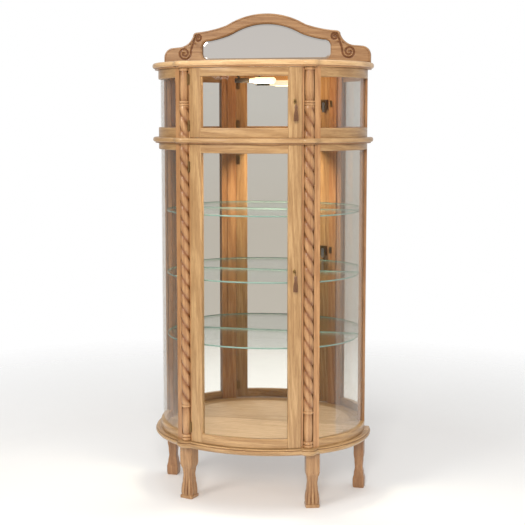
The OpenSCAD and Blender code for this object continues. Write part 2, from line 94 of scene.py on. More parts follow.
# ---- Mesh building ---------------------------------------------------------------------
class Build:
    """Collects points, faces, the grain direction and the painted shade of one piece."""

    def __init__(self):
        self.points = []
        self.faces = []
        self.grain = []
        self.painted_shade = []
        self.tags = []

    # Each point carries a painted shade value: 0 leaves the oak plain, 1 darkens it fully, for grooves and
    # recesses where shade falls.
    def row(self, points, grain=None, painted_shade=None):
        start = len(self.points)
        self.points += [tuple(p) for p in points]
        self.grain += grain or [tuple(p) for p in points]
        self.painted_shade += painted_shade or [0.0] * len(points)
        return list(range(start, start + len(points)))

    def face(self, corners, tag=0):
        self.faces.append(tuple(corners))
        self.tags.append(tag)

    def strip(self, first, second, tag=0):
        for i in range(len(first)):
            j = (i + 1) % len(first)
            self.face((first[i], first[j], second[j], second[i]), tag)

    def rows(self, rows, tag=0):
        """Joins closed rows one after another."""
        for first, second in zip(rows, rows[1:]):
            self.strip(first, second, tag)

    def loft(self, rows):
        """Joins closed rows and caps both ends."""
        self.rows(rows)
        self.face(rows[0])
        self.face(rows[-1])

    def flat(self, outline, holes, point, grain=None, tag=0):
        """Fills a flat outline around its holes; point(a, b) puts each point on the piece."""
        points, faces = fill(outline, holes, [])
        row = self.row([point(*p) for p in points], grain and [grain(*p) for p in points])
        for corners in faces:
            self.face([row[i] for i in corners], tag)

    def piece(self, name, materials, body, slot, replaces, sharp):
        """Makes the mesh object, with outward faces, hangs it on its body's empty and hides the CAD parts
        it replaces.
        """
        mesh = bpy.data.meshes.new(name)
        bm = bmesh.new()
        along = bm.verts.layers.float_vector.new("grain")
        # This float layer holds each point's painted shade, which the oak materials darken by.
        dark = bm.verts.layers.float.new("painted_shade")
        verts = [bm.verts.new(p) for p in self.points]
        for v, g, d in zip(verts, self.grain, self.painted_shade):
            v[along] = g
            v[dark] = d
        for corners, tag in zip(self.faces, self.tags):
            if len(set(corners)) < 3:
                continue
            try:
                made = bm.faces.new([verts[i] for i in corners])
            except ValueError:
                continue
            made.material_index = tag
            made.smooth = True
        bmesh.ops.remove_doubles(bm, verts=bm.verts, dist=1e-6)
        bmesh.ops.recalc_face_normals(bm, faces=bm.faces)
        bm.to_mesh(mesh)
        bm.free()
        mesh.set_sharp_from_angle(angle=math.radians(sharp))
        obj = bpy.data.objects.new(name, mesh)
        scene.collection.objects.link(obj)
        for material in materials:
            mesh.materials.append(material)
        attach(obj, body)
        if replaces:
            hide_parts(*replaces)
        return obj


def arc(cx, cy, r, a0, a1, n):
    """Points of an arc, with its angles in degrees."""
    return [
        (cx + r * math.cos(math.radians(a0 + (a1 - a0) * i / n)),
         cy + r * math.sin(math.radians(a0 + (a1 - a0) * i / n)))
        for i in range(n + 1)
    ]


def rounded(x0, x1, y0, y1, radii, n=4):
    """A rectangle's outline with rounded corners: low-left, low-right, high-right, high-left."""
    corners = [(x0, y0, 180), (x1, y0, 270), (x1, y1, 0), (x0, y1, 90)]
    sides = [(1, 1), (-1, 1), (-1, -1), (1, -1)]
    outline = []
    for (x, y, start), (sx, sy), r in zip(corners, sides, radii):
        outline += arc(x + sx * r, y + sy * r, r, start, start + 90, n)
    return outline


def full_turn(steps):
    """Angles evenly spaced round a circle."""
    return [2 * math.pi * i / steps for i in range(steps)]


def lathe(build, profile, place, steps):
    """Turns (radius, height) points round an axis; place(x, y, z) puts them on the piece."""
    build.loft([
        build.row([place(r * math.cos(t), r * math.sin(t), z) for t in full_turn(steps)])
        for r, z in profile
    ])


def tube(build, path, r, steps):
    """A round cord along a path."""
    rows = []
    up = Vector((0, 0, 1))
    for i, point in enumerate(path):
        before = Vector(path[max(i - 1, 0)])
        after = Vector(path[min(i + 1, len(path) - 1)])
        way = (after - before).normalized()
        side = way.cross(up if abs(way.z) < 0.9 else Vector((1, 0, 0))).normalized()
        rise = side.cross(way)
        rows.append(build.row([
            Vector(point) + (side * math.cos(t) + rise * math.sin(t)) * r for t in full_turn(steps)
        ]))
    build.loft(rows)


def inside_loop(point, loop):
    x, z = point
    hit = False
    for (ax, az), (bx, bz) in zip(loop, loop[1:] + loop[:1]):
        if (az > z) != (bz > z) and x < (bx - ax) * (z - az) / (bz - az) + ax:
            hit = not hit
    return hit


def fill(outer, holes, extra):
    """Triangles that fill an outline around its holes, through extra points."""
    points = [Vector(p) for p in outer]
    edges = [(i, (i + 1) % len(outer)) for i in range(len(outer))]
    for hole in holes:
        start = len(points)
        points += [Vector(p) for p in hole]
        edges += [(start + i, start + (i + 1) % len(hole)) for i in range(len(hole))]
    points += [Vector(p) for p in extra]
    out, _, faces, _, _, _ = delaunay_2d_cdt(points, edges, [], 0, 1e-7)
    kept = []
    for corners in faces:
        middle = (
            sum(out[i].x for i in corners) / len(corners), sum(out[i].y for i in corners) / len(corners),
        )
        if inside_loop(middle, outer) and not any(inside_loop(middle, h) for h in holes):
            kept.append(corners)
    return [(p.x, p.y) for p in out], kept


# ---- Materials -------------------------------------------------------------------------
def new_material(name):
    material = bpy.data.materials.new(name)
    material.use_nodes = True
    tree = material.node_tree
    tree.nodes.clear()
    return material, tree


def add(tree, kind, values=None, **settings):
    """A node with its settings, and its inputs set to values or linked to sockets."""
    made = tree.nodes.new("ShaderNode" + kind)
    for key, value in settings.items():
        setattr(made, key, value)
    for key, value in (values or {}).items():
        if isinstance(value, bpy.types.NodeSocket):
            tree.links.new(value, made.inputs[key])
        else:
            made.inputs[key].default_value = value
    return made


def finish(tree, shader):
    add(tree, "OutputMaterial", {0: shader.outputs[0]})


def ramp(tree, source, stops):
    """A colour ramp over a factor: stops are (place, grey or colour)."""
    made = add(tree, "ValToRGB", {0: source})
    elements = made.color_ramp.elements
    while len(elements) < len(stops):
        elements.new(0.5)
    for element, (place, colour) in zip(elements, stops):
        element.position = place
        element.color = (*colour, 1) if isinstance(colour, tuple) else (colour, colour, colour, 1)
    return made.outputs[0]


def mix(tree, kind, factor, a, b):
    """Mixes two colours, given as sockets or values."""
    values = {0: factor}
    for slot, value in ((6, a), (7, b)):
        values[slot] = value if isinstance(value, bpy.types.NodeSocket) else (*value, 1)
    return add(tree, "Mix", values, data_type="RGBA", blend_type=kind).outputs[2]


def bump(tree, height, strength, distance=0.0003):
    return add(tree, "Bump", {"Strength": strength, "Distance": distance, "Height": height}).outputs[0]


def oak(name, along, light, dark, seed, coat=0.35, rough=(0.44, 0.32)):
    """Lacquered oak: growth bands, broad figure, pores and rays along one axis or a path, darkened by
    painted shade taken from a point attribute.
    """
    material, tree = new_material(name)
    if along == "path":
        place = add(tree, "Attribute", attribute_name="grain").outputs["Vector"]
        axis = 0
    else:
        place = add(tree, "TexCoord").outputs["Object"]
        axis = "XYZ".index(along)

    def stretched(length, width):
        scale = [width] * 3
        scale[axis] = length
        where = (seed, seed * 1.7, seed * 0.6)
        return add(tree, "Mapping", {"Scale": scale, "Location": where, "Vector": place}).outputs[0]

    def noise(length, width, **values):
        made = add(tree, "TexNoise", {"Vector": stretched(length, width)})
        for key, value in values.items():
            made.inputs[key].default_value = value
        return made.outputs["Fac"]

    bands = add(
        tree, "TexWave",
        {"Vector": stretched(0.06, 0.7), "Scale": 30, "Distortion": 9, "Detail": 3, "Detail Scale": 1.2,
         "Detail Roughness": 0.6},
        bands_direction="DIAGONAL",
    )
    figure = noise(0.35, 3.2, Scale=9, Detail=4, Roughness=0.6, Distortion=0.8)
    streaks = noise(0.08, 2.4, Scale=60, Detail=3, Roughness=0.65)
    pores = noise(0.07, 2.2, Scale=420, Detail=2, Roughness=0.6)
    rings = ramp(tree, bands.outputs["Fac"], [(0.30, 1.0), (0.80, 0.0)])
    base = mix(tree, "MIX", figure, light, dark)
    line = mix(tree, "MIX", rings, base, dark)
    mild = mix(tree, "MIX", 0.60, base, line)
    fleck = ramp(tree, streaks, [(0.35, (0.70, 0.62, 0.55)), (0.58, 1.0)])
    streaked = mix(tree, "MULTIPLY", 0.6, mild, fleck)
    dotted = ramp(tree, pores, [(0.36, (0.50, 0.42, 0.36)), (0.46, 1.0)])
    grained = mix(tree, "MULTIPLY", 0.6, streaked, dotted)
    # Painted shade: the per-point attribute multiplies the colour towards a deep brown, darkening grooves,
    # quirks and creases where shade falls.
    shade_amount = add(tree, "Attribute", attribute_name="painted_shade").outputs["Fac"]
    finish(tree, add(tree, "BsdfPrincipled", {
        "Base Color": mix(tree, "MULTIPLY", shade_amount, grained, (0.42, 0.25, 0.16)),
        "Roughness": ramp(tree, streaks, [(0.3, rough[0]), (0.7, rough[1])]),
        "Normal": bump(tree, mix(tree, "MULTIPLY", 0.5, dotted, rings), 0.25, 0.0006),
        "Coat Weight": coat, "Coat Roughness": 0.16, "IOR": 1.5,
    }))
    return material


def pane(name, tint, reflect):
    """Thin clear glass: it passes light straight through and mirrors a little, most at a slant."""
    material, tree = new_material(name)
    fresnel = add(tree, "Fresnel", {"IOR": 1.45})
    share = add(tree, "Math", {0: fresnel.outputs[0], 1: reflect}, operation="MULTIPLY")
    smears = add(tree, "TexNoise", {"Scale": 6, "Detail": 3})
    spread = add(tree, "MapRange", {"Value": smears.outputs["Fac"], "To Min": 0.9, "To Max": 1.0})
    clear = add(tree, "BsdfTransparent", {"Color": (*tint, 1)})
    gloss = add(tree, "BsdfGlossy", {"Roughness": 0.015, "Color": spread.outputs[0]})
    finish(tree, add(tree, "MixShader", {0: share.outputs[0], 1: clear.outputs[0], 2: gloss.outputs[0]}))
    return material


def solid(name, colour, worn, metallic, rough, scale, relief):
    """A surface with mottled colour and roughness and a fine bump."""
    material, tree = new_material(name)
    place = add(tree, "TexCoord").outputs["Object"]
    noise = add(tree, "TexNoise", {"Vector": place, "Scale": scale, "Detail": 5, "Roughness": 0.6})
    patches = noise.outputs["Fac"]
    spread = add(tree, "MapRange", {"Value": patches, "To Min": rough[0], "To Max": rough[1]})
    finish(tree, add(tree, "BsdfPrincipled", {
        "Base Color": mix(tree, "MIX", patches, colour, worn),
        "Metallic": metallic,
        "Roughness": spread.outputs[0],
        "Normal": bump(tree, patches, relief),
    }))
    return material


def thread(name, light, dark):
    """Twisted rayon thread: fine slanted lines with a soft sheen."""
    material, tree = new_material(name)
    place = add(tree, "TexCoord").outputs["Object"]
    wave = {"Vector": place, "Scale": 260, "Distortion": 1.5, "Detail": 1}
    twist = add(tree, "TexWave", wave, bands_direction="DIAGONAL").outputs["Fac"]
    finish(tree, add(tree, "BsdfPrincipled", {
        "Base Color": mix(tree, "MIX", twist, dark, light),
        "Normal": bump(tree, twist, 0.5),
        "Roughness": 0.62, "Sheen Weight": 0.35, "Sheen Roughness": 0.4,
    }))
    return material


def glow(name, colour, strength):
    """The lit bulb's frosted envelope, a little whiter towards its middle."""
    material, tree = new_material(name)
    facing = add(tree, "LayerWeight", {"Blend": 0.4}).outputs["Facing"]
    finish(tree, add(tree, "BsdfPrincipled", {
        "Base Color": (1, 0.93, 0.78, 1),
        "Roughness": 0.35,
        "Emission Color": mix(tree, "MIX", facing, (1.0, 0.9, 0.66), colour),
        "Emission Strength": strength,
    }))
    return material


OAK_LIGHT = (0.62, 0.405, 0.195)
OAK_DARK = (0.35, 0.195, 0.078)
# Redder oak for the front posts: the oak's own tone with painted warm lamplight from the bulb worked into
# it.
WARM_LIGHT = (0.64, 0.365, 0.165)
WARM_DARK = (0.38, 0.180, 0.070)
SHADE_LIGHT = (0.46, 0.255, 0.120)
SHADE_DARK = (0.27, 0.130, 0.055)
oak_path = oak("oak_curved", "path", OAK_LIGHT, OAK_DARK, 5.3)
# Column oak is lighter than the case oak: painted highlight on the plain turned parts, which the rope's
# extra painted shade offsets.
oak_column = oak("oak_column", "path", (0.68, 0.42, 0.205), (0.40, 0.205, 0.085), 4.2)
oak_post = oak("oak_post", "Z", WARM_LIGHT, WARM_DARK, 6.1)
# Mid moulding and crown oak are lighter than the case oak: painted highlight standing in for the light on
# their rounded noses.
oak_edge = oak("oak_edge", "path", (0.68, 0.45, 0.225), (0.40, 0.228, 0.094), 2.7)
oak_crown = oak("oak_crown", "path", (0.90, 0.64, 0.35), (0.62, 0.38, 0.175), 2.1)
oak_top = oak("oak_top", "X", OAK_LIGHT, OAK_DARK, 7.2)
oak_crest = oak("oak_crest", "path", (0.51, 0.305, 0.148), (0.29, 0.148, 0.060), 3.9)
oak_floor = oak(
    "oak_floor", "X", (0.69, 0.505, 0.345), (0.60, 0.42, 0.275), 8.6, coat=0.04, rough=(0.62, 0.55)
)
oak_leg = oak("oak_leg", "Z", (0.54, 0.325, 0.155), (0.33, 0.175, 0.075), 7.7)
oak_rear = oak("oak_rear", "Z", SHADE_LIGHT, SHADE_DARK, 9.2)
oak_panel = oak("oak_panel", "Z", SHADE_LIGHT, SHADE_DARK, 12.4)
glass = pane("curved_glass", (0.99, 0.997, 0.993), 0.32)
glass_flat = pane("shelf_glass_face", (0.975, 0.993, 0.985), 0.45)
glass_edge = solid("shelf_glass_edge", (0.17, 0.28, 0.235), (0.28, 0.40, 0.35), 0.0, (0.12, 0.2), 30, 0.02)
mirror = solid("mirror_silver", (0.80, 0.785, 0.755), (0.82, 0.80, 0.77), 1.0, (0.008, 0.02), 5, 0.0)
mirror_back = solid("mirror_back", (0.20, 0.195, 0.19), (0.16, 0.155, 0.15), 0.0, (0.5, 0.65), 40, 0.05)
brass = solid("satin_brass", (0.62, 0.43, 0.16), (0.45, 0.29, 0.10), 1.0, (0.24, 0.4), 90, 0.15)
brass_dark = solid("aged_brass", (0.34, 0.22, 0.09), (0.20, 0.13, 0.06), 1.0, (0.35, 0.5), 120, 0.2)
steel = solid("plated_steel", (0.58, 0.58, 0.57), (0.46, 0.46, 0.46), 1.0, (0.25, 0.4), 120, 0.1)
socket_paint = solid("socket_paint", (0.03, 0.027, 0.025), (0.06, 0.055, 0.05), 0.0, (0.35, 0.5), 80, 0.15)
tassel_thread = thread("tassel_thread", (0.24, 0.115, 0.055), (0.10, 0.045, 0.022))
bulb_glow = glow("bulb_glow", (1.0, 0.90, 0.62), 1.0)


def paint(material, slot, *names):
    """Gives carried-over CAD nodes a procedural material."""
    for name in names:
        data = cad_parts[name].data
        data.materials.clear()
        data.materials.append(material)


paint(oak_post, "oak", "left_front_post", "right_front_post")
paint(oak_rear, "oak", "left_rear_post", "right_rear_post")
paint(oak_panel, "oak_back", "back_panel")
paint(mirror, "mirror", "lower_mirror", "upper_mirror")
paint(steel, "steel", "leg_bolts", "lower_lock_cam", "upper_lock_cam")
paint(brass_dark, "brass", "hinge_post_leaves", "lower_door_hinge_leaves", "upper_door_hinge_leaves")
paint(brass_dark, "brass", "hinge_pins", "strike_plates")
paint(brass_dark, "brass", "lower_lock_body", "upper_lock_body")


# ---- The D-shaped outline and its mouldings --------------------------------------------
LONG_STEPS = 26
COLUMN_STEPS = 14
HUB_Y = 0.1
BASE_WIDTH = 0.082
MID_WIDTH = 0.046


def meet(c0, r0, c1, r1):
    """The two points where two circles meet."""
    c0, c1 = Vector(c0), Vector(c1)
    way = c1 - c0
    a = (r0 * r0 - r1 * r1 + way.length_squared) / (2 * way.length)
    h = math.sqrt(max(r0 * r0 - a * a, 0))
    foot = c0 + way * (a / way.length)
    across = Vector((-way.y, way.x)) * (h / way.length)
    return foot + across, foot - across


def turn(centre, r, start, end, n):
    """Points of an arc about a centre, from one angle in radians to another."""
    return [
        (centre[0] + r * math.cos(start + (end - start) * i / n),
         centre[1] + r * math.sin(start + (end - start) * i / n))
        for i in range(n + 1)
    ]


def bearing(centre, point):
    return math.atan2(point[1] - centre[1], point[0] - centre[0])


def case_outline(front_r, side_at, side_r, rear, column_r=None):
    """The case's outline from the left rear corner round the front to the right rear one.

    With a column radius it goes round each column, outside it or inside as the curves meet it."""
    front_at = (0.0, FRONT_CY)
    column = (COLUMN_X, COLUMN_Y)
    end = math.asin((rear - side_at[1]) / side_r)
    if column_r:
        first = min(meet(front_at, front_r, column, column_r), key=lambda p: p.x)
        second = max(meet(column, column_r, side_at, side_r), key=lambda p: p.x)
    else:
        first = min(meet(front_at, front_r, side_at, side_r), key=lambda p: abs(p.x - COLUMN_X))
        second = first
    half = turn(front_at, front_r, -math.pi / 2, bearing(front_at, first), LONG_STEPS)
    if column_r:
        half += turn(column, column_r, bearing(column, first), bearing(column, second), COLUMN_STEPS)[1:]
    half += turn(side_at, side_r, bearing(side_at, second), end, LONG_STEPS)[1:]
    return [(-x, y) for x, y in half[:0:-1]] + half


def inner_outline(width):
    """The outline of the clear space a given width inside the case."""
    return case_outline(FRONT_R - width, (SIDE_CX, SIDE_CY), SIDE_R - width, MIRROR_Y - width)


def ray_hit(loop, start, way):
    """Where a ray from start meets a closed loop of points."""
    best = None
    for a, b in zip(loop, loop[1:] + loop[:1]):
        ex, ey = b[0] - a[0], b[1] - a[1]
        det = ex * way[1] - ey * way[0]
        if abs(det) < 1e-12:
            continue
        sx, sy = a[0] - start[0], a[1] - start[1]
        t = (ex * sy - ey * sx) / det
        u = (way[0] * sy - way[1] * sx) / det
        if t > 0 and -1e-9 <= u <= 1 + 1e-9 and (best is None or t > best):
            best = t
    return (start[0] + way[0] * best, start[1] + way[1] * best)


def path_lengths(points):
    total = [0.0]
    for a, b in zip(points, points[1:]):
        total.append(total[-1] + math.dist(a, b))
    return total


SOCKET_LOW, SOCKET_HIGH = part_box("lamp_socket")
WIRE_AT = (SOCKET_LOW.x + 0.030, (SOCKET_LOW.y + SOCKET_HIGH.y) / 2)
WIRE_HOLE = turn(WIRE_AT, 0.004, 0, 2 * math.pi, 24)[:-1]


def moulding(node, profile, rear, width=None):
    """A moulding round the case: its profile holds (inset, share of the height, painted shade) going up.

    With a width it is a ring open inside, and without one a board with the lamp's wire hole."""
    low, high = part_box(node)
    side_at = (SIDE_CX + SIDE_SHIFT, SIDE_CY)
    front_r = FRONT_CY - low.y
    side_r = high.x - side_at[0]
    build = Build()
    rows = []
    loops = []
    for inset, share, painted_shade in profile:
        loop = case_outline(
            front_r - inset, side_at, side_r - inset, rear - min(inset, 0.002), RING_R - inset
        )
        corner_l, corner_r = loop[0], loop[-1]
        back = [
            (corner_r[0] + (corner_l[0] - corner_r[0]) * i / 12, corner_r[1]) for i in range(1, 12)
        ]
        loop = loop + back
        z = low.z + (high.z - low.z) * share
        along = path_lengths(loop)
        rows.append(build.row(
            [(x, y, z) for x, y in loop], [(s, inset, z) for s in along], [painted_shade] * len(loop),
        ))
        loops.append((loop, z, along))
    build.rows(rows)
    ends = []
    for row, (loop, z, along) in ((rows[0], loops[0]), (rows[-1], loops[-1])):
        if width is None:
            inner = [(x * 0.997, y + (HUB_Y - y) * 0.003) for x, y in loop]
            build.strip(row, build.row([(x, y, z) for x, y in inner]), 1)
            build.flat(inner, [WIRE_HOLE], lambda x, y, z=z: (x, y, z), tag=1)
            ends.append(build.row([(x, y, z) for x, y in WIRE_HOLE]))
            continue
        inside = inner_outline(width)
        hits = [ray_hit(inside, (0.0, HUB_Y), (x, y - HUB_Y)) for x, y in loop]
        inner = build.row([(x, y, z) for x, y in hits], [(s, width, z) for s in along])
        for i in range(len(loop)):
            j = (i + 1) % len(loop)
            across_rear = min(hits[i][1], hits[j][1]) > MIRROR_Y - width - 0.001 and z > low.z + 0.001
            build.face((row[i], row[j], inner[j], inner[i]), 1 if across_rear else 0)
        ends.append(inner)
    build.strip(*ends)
    return build


def bullnose(depth, foot, n=9):
    """A rounded edge over a small recess, as profile points, with painted shade in the recess under the
    nose.
    """
    nose = [
        (depth - depth * math.cos(math.radians(a)), 0.60 + 0.39 * math.sin(math.radians(a)), 0.0)
        for a in (-80 + 160 * i / n for i in range(n + 1))
    ]
    nose[0] = (*nose[0][:2], 0.7)
    return [(foot, 0.0, 0.5), (foot, 0.16, 0.8), (foot - 0.0006, 0.20, 0.9)] + nose + [(depth, 1.0, 0.0)]


# The third value of each point is painted shade: darkest in the groove under the top bead, lighter at the
# foot.
BASE_PROFILE = [
    (0.0135, 0.0, 0.2), (0.0105, 0.02, 0.1), (0.0072, 0.10, 0.0), (0.0044, 0.20, 0.0),
    (0.0022, 0.31, 0.0), (0.0008, 0.42, 0.0), (0.0, 0.54, 0.0), (0.0004, 0.63, 0.0),
    (0.0016, 0.70, 0.0), (0.0036, 0.755, 0.3), (0.0062, 0.775, 0.8), (0.0064, 0.80, 0.8),
    (0.0050, 0.83, 0.2), (0.0042, 0.88, 0.0), (0.0044, 0.94, 0.0), (0.0054, 0.985, 0.0),
    (0.0064, 1.0, 0.0),
]

base = moulding("base_moulding", BASE_PROFILE, BACK_Y, BASE_WIDTH)
base.piece("base_moulding_wood", [oak_path, oak_floor], "root", "oak", ["base_moulding"], 50)
mid = moulding("mid_moulding", bullnose(0.0065, 0.0095), MIRROR_Y, MID_WIDTH)
mid.piece("mid_moulding_wood", [oak_edge, oak_edge], "root", "oak", ["mid_moulding"], 50)
crown = moulding("crown_moulding", bullnose(0.0065, 0.0095), BACK_Y)
crown.piece("crown_moulding_wood", [oak_crown, oak_top], "root", "oak", ["crown_moulding"], 50)


def slab(name, node, width, materials, slot, bevel, relief=None):
    """A flat sheet with the inner outline of the case and eased edges; its edge is tag 1."""
    low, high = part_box(node)
    build = Build()
    rows = []
    side_r = SIDE_R - width
    for inset, z in ((bevel, low.z), (0, low.z + bevel), (0, high.z - bevel), (bevel, high.z)):
        loop = case_outline(
            FRONT_R - width - inset, (SIDE_CX, SIDE_CY), side_r - inset, high.y - inset, relief
        )
        rows.append(build.row([(x, y, z) for x, y in loop]))
    build.rows(rows, len(materials) - 1)
    build.face(rows[0])
    build.face(rows[-1])
    build.piece(name, materials, "root", slot, [node], 30)


SHELF_GLASS = [glass_flat, glass_edge]
SHELF_INSET = 0.030
SHELF_RELIEF = 0.030
DECK_INSET = 0.038
for tier in ("bottom", "middle", "top"):
    slab(
        f"{tier}_shelf_pane", f"{tier}_shelf", SHELF_INSET, SHELF_GLASS, "shelf_glass", 0.0008, SHELF_RELIEF
    )
slab("deck_pane", "deck_glass", DECK_INSET, SHELF_GLASS, "shelf_glass", 0.0004)
slab("floor_board", "floor_panel", BASE_WIDTH, [oak_floor], "oak", 0.0003)


# ---- Doors -----------------------------------------------------------------------------
def curved_bar(name, z0, z1, a0, a1, d0, d1, radii, material, body, slot, node, point=on_front, steps=28):
    """A bar bent round a curve: its section is in depth and height, and its grain runs along it."""
    build = Build()
    outline = rounded(d0, d1, z0, z1, radii)
    rows = []
    for i in range(steps + 1):
        a = a0 + (a1 - a0) * i / steps
        grain = [(a * FRONT_R, d, z) for d, z in outline]
        rows.append(build.row([point(a, d, z) for d, z in outline], grain))
    build.loft(rows)
    build.piece(name, [material], body, slot, [node], 30)


def upright_bar(name, z0, z1, a0, a1, d0, d1, radii, material, body, node):
    """A straight upright bar with its face on the door curve: its section is in plan."""
    build = Build()
    outline = rounded(a0 * FRONT_R, a1 * FRONT_R, d0, d1, radii)
    rows = []
    ease = 0.0008
    steps = 12
    heights = [(z0, ease), (z0 + ease, 0)]
    heights += [(z0 + (z1 - z0) * i / steps, 0) for i in range(1, steps)]
    heights += [(z1 - ease, 0), (z1, ease)]
    middle = ((a0 + a1) / 2 * FRONT_R, (d0 + d1) / 2)
    for z, inset in heights:
        ring = []
        for s, d in outline:
            s += inset if s < middle[0] else -inset
            d += inset if d < middle[1] else -inset
            ring.append(on_front(s / FRONT_R, d, z))
        rows.append(build.row(ring, [(p[2], p[0], p[1]) for p in ring]))
    build.loft(rows)
    build.piece(name, [material], body, "oak", [node], 30)


EDGE = 0.0016
INNER_EDGE = 0.0035
PANE_EDGES = (0.0004,) * 4
for tier in ("lower", "upper"):
    body = f"{tier}_door"
    inside_a = DOOR_A - STILE_A
    for part, a0, a1, radii in (
        ("hinge_stile", -DOOR_A, -inside_a, (EDGE, INNER_EDGE, EDGE, EDGE)),
        ("lock_stile", inside_a, DOOR_A, (INNER_EDGE, EDGE, EDGE, EDGE)),
    ):
        node = f"{tier}_door_{part}"
        low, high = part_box(node)
        upright_bar(f"{node}_wood", low.z, high.z, a0, a1, 0, DOOR_T, radii, oak_path, body, node)
    for part, radii in (
        ("top_rail", (INNER_EDGE, EDGE, EDGE, EDGE)),
        ("bottom_rail", (EDGE, EDGE, EDGE, INNER_EDGE)),
    ):
        node = f"{tier}_door_{part}"
        low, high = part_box(node)
        curved_bar(
            f"{node}_wood", low.z, high.z, -inside_a, inside_a, 0, DOOR_T, radii,
            oak_path, body, "oak", node,
        )
    node = f"{tier}_door_glass"
    low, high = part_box(node)
    grow = GROOVE / FRONT_R
    curved_bar(
        f"{node}_pane", low.z, high.z, -inside_a - grow, inside_a + grow, PANE_IN, PANE_IN + PANE_T,
        PANE_EDGES, glass, body, "curved_glass", node, steps=48,
    )

# ---- Curved sides ----------------------------------------------------------------------
POST_SIDE_A = math.radians(36.5)
REAR_POST_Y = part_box("right_rear_post")[0].y
END_A = math.acos((SIDE_CY - REAR_POST_Y) / SIDE_R)
SIDE_RAIL_T = 0.022
FRONT_LAP = 0.017
REAR_LAP = 0.016
for side, word in ((-1, "left"), (1, "right")):
    def side_point(a, d, z, side=side):
        return on_side(a, d, z, side)

    for tier in ("lower", "upper"):
        node = f"{tier}_{word}_side_glass"
        low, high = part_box(node)
        curved_bar(
            f"{node}_pane", low.z, high.z, POST_SIDE_A - FRONT_LAP, END_A + REAR_LAP, SIDE_PANE_IN,
            SIDE_PANE_IN + PANE_T, PANE_EDGES, glass, "root", "curved_glass", node, side_point, 48,
        )
        rails_low, rails_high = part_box(f"{tier}_side_rails")
        for part, z0, z1, radii in (
            ("bottom", rails_low.z, low.z + GROOVE, (EDGE, EDGE, EDGE, INNER_EDGE)),
            ("top", high.z - GROOVE, rails_high.z, (INNER_EDGE, EDGE, EDGE, EDGE)),
        ):
            curved_bar(
                f"{tier}_{word}_side_{part}_rail_wood", z0, z1, POST_SIDE_A, END_A, 0, SIDE_RAIL_T,
                radii, oak_path, "root", "oak", f"{tier}_side_rails", side_point, 32,
            )

# ---- Columns ---------------------------------------------------------------------------
ROPE_LEAD = 0.118
ROPE_STARTS = 2
ROPE_CUT = 0.30
ROPE_R = 0.0200
ROPE_FADE = 0.012
PLAIN_R = 0.0150


def column_profile(rope, plain, rings):
    """(height, radius, rope share, painted shade) going up, for the rope, plain and ring stretches."""
    rows = []

    def rope_rows(z0, z1):
        count = max(int((z1 - z0) / 0.0035), 8)
        for i in range(count + 1):
            z = z0 + (z1 - z0) * i / count
            fade = min((z - z0) / ROPE_FADE, (z1 - z) / ROPE_FADE, 1.0)
            rows.append((z, ROPE_R - 0.0022 * (1 - fade) ** 2, fade, 0.0))

    def plain_rows(z0, z1):
        for i in range(15):
            t = i / 14
            swell = math.sin(math.pi * t) ** 0.8
            # Painted shade at the narrow ends of the swell, next to the rings.
            rows.append((z0 + (z1 - z0) * t, PLAIN_R + 0.0026 * swell, 0.0, 0.5 * (1 - swell)))

    def ring_rows(z0, z1):
        beads = 2 if z1 - z0 > 0.015 else 1
        for k in range(beads):
            b0 = z0 + (z1 - z0) * k / beads
            b1 = z0 + (z1 - z0) * (k + 1) / beads
            for i in range(9):
                t = math.radians(-80 + 20 * i)
                z = (b0 + b1) / 2 + (b1 - b0) / 2 * math.sin(t)
                # Painted shade in the creases between and beside the beads.
                rows.append((z, PLAIN_R + 0.0052 * math.cos(t), 0.0, 0.9 * abs(math.sin(t)) ** 8))

    parts = [(rope, rope_rows), (plain, plain_rows)] + [(r, ring_rows) for r in rings]
    for (z0, z1), make in sorted(parts, key=lambda part: part[0][0]):
        make(z0, z1)
    return rows


def column(node, side, rows, steps=48):
    build = Build()
    made = []
    for z, r, share, painted_shade in rows:
        ring = []
        shade_values = []
        for t in full_turn(steps):
            turn_at = ROPE_STARTS / 2 * (t + 2 * math.pi * z / ROPE_LEAD)
            cut = (1 - abs(math.sin(turn_at))) ** 1.7
            rr = r * (1 - ROPE_CUT * share * cut)
            ring.append((side * COLUMN_X + rr * math.cos(t), COLUMN_Y + rr * math.sin(t), z))
            # Painted shade in the rope's grooves, plus a little painted shade over the whole rope.
            shade_values.append(max(painted_shade, share * (0.20 + 0.76 * cut ** 0.8)))
        made.append(build.row(ring, [(p[2], p[0], p[1]) for p in ring], shade_values))
    build.loft(made)
    build.piece(f"{node}_carved", [oak_column], "root", "oak", [node], 60)


for side, word in ((-1, "left"), (1, "right")):
    low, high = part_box(f"lower_{word}_column")
    rows = column_profile(
        (low.z + 0.1504, high.z), (low.z + 0.0274, low.z + 0.1374),
        [(low.z, low.z + 0.0274), (low.z + 0.1374, low.z + 0.1504)],
    )
    column(f"lower_{word}_column", side, rows)
    low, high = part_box(f"upper_{word}_column")
    rows = column_profile(
        (low.z, low.z + 0.126), (low.z + 0.146, high.z - 0.014),
        [(low.z + 0.126, low.z + 0.146), (high.z - 0.014, high.z)],
    )
    column(f"upper_{word}_column", side, rows)


# ---- Legs ------------------------------------------------------------------------------
def blend_between(a, b, t):
    t = min(max(t, 0.0), 1.0)
    return a + (b - a) * t * t * (3 - 2 * t)


def leg_rows(heights):
    """Half-width, squareness and carving at each height, read from (z, half, square, carve)."""
    rows = []
    for (z0, h0, s0, c0), (z1, h1, s1, c1) in zip(heights, heights[1:]):
        count = max(int(abs(z1 - z0) / 0.004), 1)
        for i in range(count):
            t = i / count
            rows.append((
                z0 + (z1 - z0) * t, blend_between(h0, h1, t), blend_between(s0, s1, t), c0 + (c1 - c0) * t,
            ))
    rows.append(heights[-1])
    return rows


